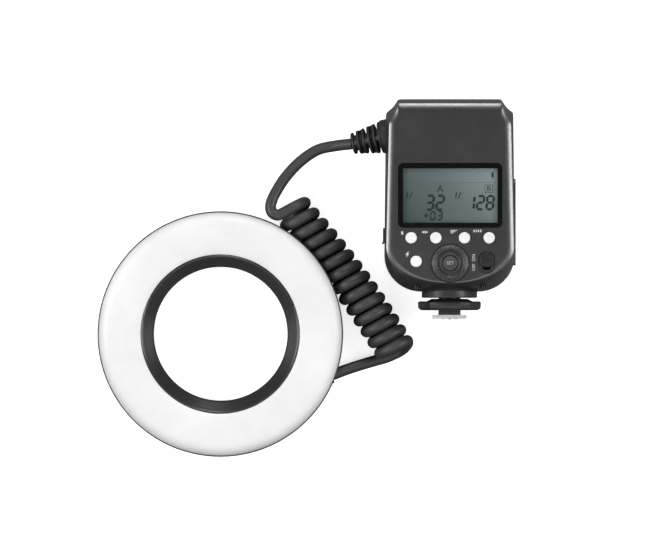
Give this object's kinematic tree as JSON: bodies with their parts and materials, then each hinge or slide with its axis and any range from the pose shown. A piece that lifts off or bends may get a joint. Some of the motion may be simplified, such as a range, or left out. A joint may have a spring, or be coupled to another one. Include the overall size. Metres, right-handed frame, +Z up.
{
  "type": "macro ring flash",
  "caption": "Ring-shaped flash head for the front of a lens, joined by a coiled cord to a control unit with a display, dial, keys and a camera shoe foot.",
  "frame": {"origin": "on the table under the centre of the box round the ring head and the control unit, as laid out in the picture", "axes": "+X to the picture's right, +Y up the picture, +Z up from the table towards the camera"},
  "size_m": [0.2286, 0.1954, 0.0574],
  "materials": {
    "case_black": "fine satin grain",
    "trim_black": "matt",
    "key_white": "satin",
    "window_black": "gloss",
    "display_grey": "polarised display glass",
    "milky": "milky satin",
    "rubber_black": "satin moulded cord and boots",
    "shoe_metal": "machined, clear anodised",
    "steel": "plain",
    "screw_black": "black oxide",
    "gold": "plated",
    "board_green": "solder mask",
    "part_grey": "plain",
    "can_blue": "sleeved can",
    "winding": "taped winding",
    "mirror_tray": "bright",
    "tube_glass": "clear",
    "red_window": "deep red, clear"
  },
  "bodies": {
    "flash": {"panel_cover": "case_black", "back_cover": "case_black", "window": "window_black", "display_glass": "display_grey", "backlight": "milky", "slide_switch": "part_grey", "button_switches": "part_grey", "dial_encoder": "part_grey", "key_board": "board_green", "main_board": "board_green", "transformer": "winding", "flash_capacitor": "can_blue", "battery_tray": "part_grey", "battery_contacts": "gold", "usb_socket": "steel", "assist_window": "red_window", "case_screws": "screw_black", "board_screws": "steel", "base_collar": "case_black", "shoe_block": "trim_black", "shoe_plate": "shoe_metal", "case_boot": "rubber_black", "cord_upper": "rubber_black", "cord_coil": "rubber_black", "cord_lower": "rubber_black", "ring_boot": "rubber_black", "ring_diffuser": "milky", "ring_housing": "case_black", "inner_trim": "trim_black", "reflector": "mirror_tray", "flash_tube_1": "tube_glass", "flash_tube_2": "tube_glass", "tube_holders": "milky", "ring_board": "board_green", "trigger_coil": "winding", "adapter_ring": "trim_black", "ring_screws": "screw_black"},
    "function_button_1": {"function_button_1": "key_white"},
    "function_button_2": {"function_button_2": "key_white"},
    "function_button_3": {"function_button_3": "key_white"},
    "function_button_4": {"function_button_4": "key_white"},
    "test_button": {"test_button": "key_white"},
    "select_dial": {"select_dial": "trim_black"},
    "set_button": {"set_button": "trim_black"},
    "power_slider": {"power_slider": "case_black"},
    "battery": {"battery": "case_black"},
    "port_cover": {"port_cover": "rubber_black"},
    "lock_wheel": {"lock_wheel": "trim_black"},
    "lock_pin": {"lock_pin": "steel"},
    "contact_pins": {"contact_pins": "gold"},
    "release_yoke_1": {"release_yoke_1": "trim_black"},
    "release_yoke_2": {"release_yoke_2": "trim_black"}
  },
  "joints": [
    {"name": "function_button_1_press", "type": "slide", "parent": "flash", "child": "function_button_1", "axis": [0, 0, -1], "range_m": [0, 0.0006], "stiffness_N_per_m": 800},
    {"name": "function_button_2_press", "type": "slide", "parent": "flash", "child": "function_button_2", "axis": [0, 0, -1], "range_m": [0, 0.0006], "stiffness_N_per_m": 800},
    {"name": "function_button_3_press", "type": "slide", "parent": "flash", "child": "function_button_3", "axis": [0, 0, -1], "range_m": [0, 0.0006], "stiffness_N_per_m": 800},
    {"name": "function_button_4_press", "type": "slide", "parent": "flash", "child": "function_button_4", "axis": [0, 0, -1], "range_m": [0, 0.0006], "stiffness_N_per_m": 800},
    {"name": "test_button_press", "type": "slide", "parent": "flash", "child": "test_button", "axis": [0, 0, -1], "range_m": [0, 0.0006], "stiffness_N_per_m": 800},
    {"name": "set_button_press", "type": "slide", "parent": "flash", "child": "set_button", "axis": [0, 0, -1], "range_m": [0, 0.0006], "stiffness_N_per_m": 800},
    {"name": "select_dial_turn", "type": "hinge", "parent": "flash", "child": "select_dial", "pos_m": [0.0782, 0.0082, 0.056], "axis": [0, 0, 1], "continuous": true},
    {"name": "power_slider_slide", "type": "slide", "parent": "flash", "child": "power_slider", "axis": [0, -1, 0], "range_m": [0, 0.003]},
    {"name": "battery_slide", "type": "slide", "parent": "flash", "child": "battery", "axis": [1, 0, 0], "range_m": [0, 0.066]},
    {"name": "port_cover_hinge", "type": "hinge", "parent": "flash", "child": "port_cover", "pos_m": [0.0419, 0.0192, 0.026], "axis": [0, 0, 1], "range_deg": [0, 100]},
    {"name": "lock_wheel_turn", "type": "hinge", "parent": "flash", "child": "lock_wheel", "pos_m": [0.0782, -0.0073, 0.028], "axis": [0, -1, 0], "range_deg": [0, 120]},
    {"name": "lock_pin_slide", "type": "slide", "parent": "flash", "child": "lock_pin", "axis": [0, -1, 0], "range_m": [0, 0.0018]},
    {"name": "contact_pins_press", "type": "slide", "parent": "flash", "child": "contact_pins", "axis": [0, 1, 0], "range_m": [0, 0.0006], "stiffness_N_per_m": 400},
    {"name": "release_yoke_1_press", "type": "slide", "parent": "flash", "child": "release_yoke_1", "axis": [1, 0, 0], "range_m": [0, 0.002], "stiffness_N_per_m": 600},
    {"name": "release_yoke_2_press", "type": "slide", "parent": "flash", "child": "release_yoke_2", "axis": [-1, 0, 0], "range_m": [0, 0.002], "stiffness_N_per_m": 600}
  ],
  "couplings": [
    {"joint": "lock_pin_slide", "follows": "lock_wheel_turn", "m_per_rad": 0.00085944}
  ]
}
